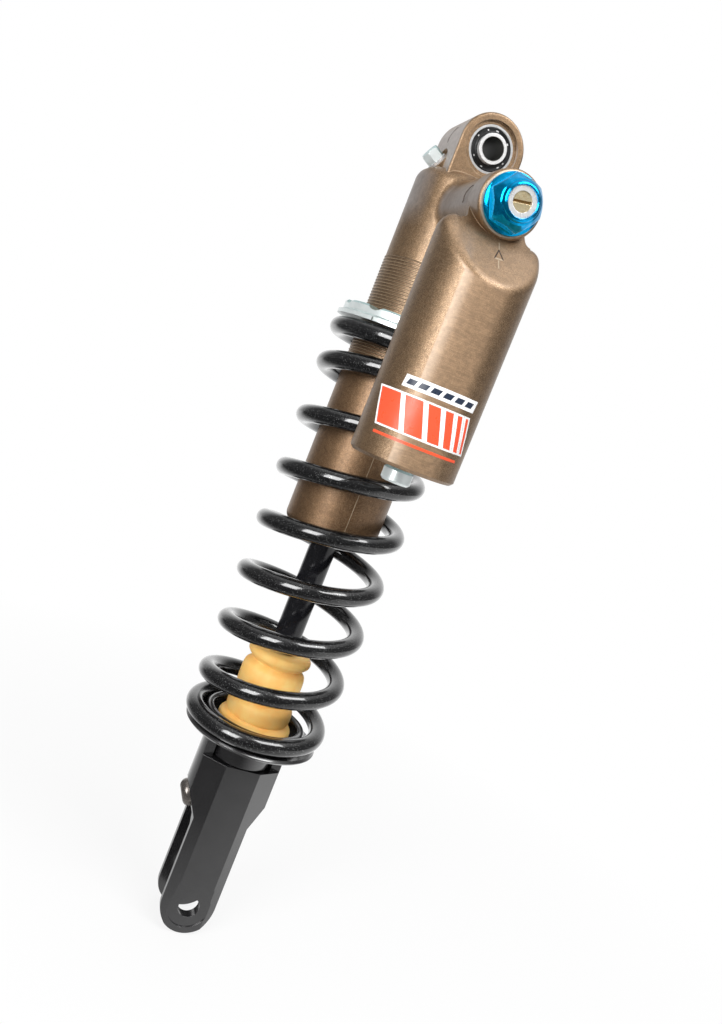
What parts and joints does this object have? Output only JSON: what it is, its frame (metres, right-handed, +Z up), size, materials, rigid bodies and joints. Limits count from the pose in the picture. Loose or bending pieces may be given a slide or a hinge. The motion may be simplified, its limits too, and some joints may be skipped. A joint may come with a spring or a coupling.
{
  "type": "motorcycle rear shock absorber",
  "caption": "Coil-over motorcycle rear shock with piggyback reservoir, threaded preload nut, bump stop and a forked lower clevis; the rod slides in the damper tube.",
  "frame": {"origin": "centre of the upper eye's bore", "axes": "+Z up along the damper's axis from the clevis to the eye, +Y along the eye bolt away from the reservoir"},
  "size_m": [0.075, 0.1256, 0.4401],
  "materials": {
    "casting": "satin bronze coat on cast aluminium",
    "bearing_steel": "ground steel",
    "bright_steel": "bright plated steel",
    "zinc_steel": "bright zinc plate",
    "aluminium": "turned aluminium",
    "blue_aluminium": "blue anodised",
    "clevis_aluminium": "dark grey anodised, satin",
    "brass": "turned brass",
    "black_rubber": "moulded rubber",
    "bump_foam": "yellow-orange foamed urethane",
    "piston_plastic": "filled sliding plastic",
    "black_paint": "semi-gloss black coat",
    "spring_paint": "gloss black powder coat with fine metal flake",
    "rod_steel": "hard chrome with a black surface",
    "dark_steel": "blackened steel"
  },
  "bodies": {
    "damper_body": {"body_casting": "casting", "eye_bearing_ring": "bearing_steel", "eye_seals": "black_rubber", "bleed_bolt": "zinc_steel", "bleed_washer": "aluminium", "compression_housing": "aluminium", "compression_piston": "aluminium", "compression_shims": "bearing_steel", "compression_o_ring": "black_rubber", "reservoir_cap": "aluminium", "reservoir_cap_o_ring": "black_rubber", "reservoir_circlip": "bearing_steel", "reservoir_bladder": "black_rubber", "gas_valve": "brass", "gas_valve_cap": "zinc_steel", "seal_head": "aluminium", "seal_head_o_ring": "black_rubber", "rod_bushing": "bearing_steel", "rod_oil_seal": "black_rubber", "seal_head_circlip": "bearing_steel", "dust_cover": "black_paint", "coil_spring": "spring_paint"},
    "collar": {"eye_collar": "bright_steel"},
    "needles": {"eye_needles": "bearing_steel"},
    "washer": {"spring_washer": "zinc_steel"},
    "nut": {"preload_nut": "zinc_steel"},
    "high_speed_knob": {"high_speed_adjuster": "blue_aluminium"},
    "low_speed_knob": {"low_speed_screw": "brass", "low_speed_needle": "brass"},
    "rod_assembly": {"damper_rod": "rod_steel", "top_out_bumper": "black_rubber", "top_out_plate": "bearing_steel", "piston": "aluminium", "piston_band": "piston_plastic", "compression_stack": "bearing_steel", "rebound_stack": "bearing_steel", "rod_nut": "bearing_steel", "rebound_rod": "aluminium", "bump_stop": "bump_foam", "lower_spring_seat": "black_paint", "lock_ring": "black_paint", "clevis": "clevis_aluminium"},
    "rebound_knob": {"rebound_adjuster": "dark_steel"}
  },
  "joints": [
    {"name": "damper_travel", "type": "slide", "parent": "damper_body", "child": "rod_assembly", "axis": [0, 0, 1], "range_m": [0, 0.0645], "stiffness_N_per_m": 30000, "springref_m": -0.003, "deforming": ["coil_spring"]},
    {"name": "collar_turn", "type": "hinge", "parent": "damper_body", "child": "collar", "pos_m": [0, 0, 0], "axis": [0, 1, 0], "continuous": true},
    {"name": "needles_turn", "type": "hinge", "parent": "damper_body", "child": "needles", "pos_m": [0, 0, 0], "axis": [0, 1, 0], "continuous": true},
    {"name": "washer_lift", "type": "slide", "parent": "damper_body", "child": "washer", "axis": [0, 0, 1], "range_m": [0, 0.0091]},
    {"name": "preload_turn", "type": "hinge", "parent": "washer", "child": "nut", "pos_m": [0, 0, -0.0888], "axis": [0, 0, 1], "range_deg": [0, 2160]},
    {"name": "high_speed_turn", "type": "hinge", "parent": "damper_body", "child": "high_speed_knob", "pos_m": [0, -0.075, -0.032], "axis": [0, -1, 0], "range_deg": [-360, 360]},
    {"name": "low_speed_turn", "type": "hinge", "parent": "damper_body", "child": "low_speed_knob", "pos_m": [0, -0.075, -0.032], "axis": [0, -1, 0], "range_deg": [-720, 720]},
    {"name": "rebound_turn", "type": "hinge", "parent": "rod_assembly", "child": "rebound_knob", "pos_m": [-0.0185, 0, -0.3535], "axis": [-0.892, 0, -0.452], "range_deg": [0, 1080]}
  ],
  "couplings": [
    {"joint": "needles_turn", "follows": "collar_turn", "ratio": 0.41},
    {"joint": "washer_lift", "follows": "preload_turn", "m_per_rad": 0.00023873}
  ]
}
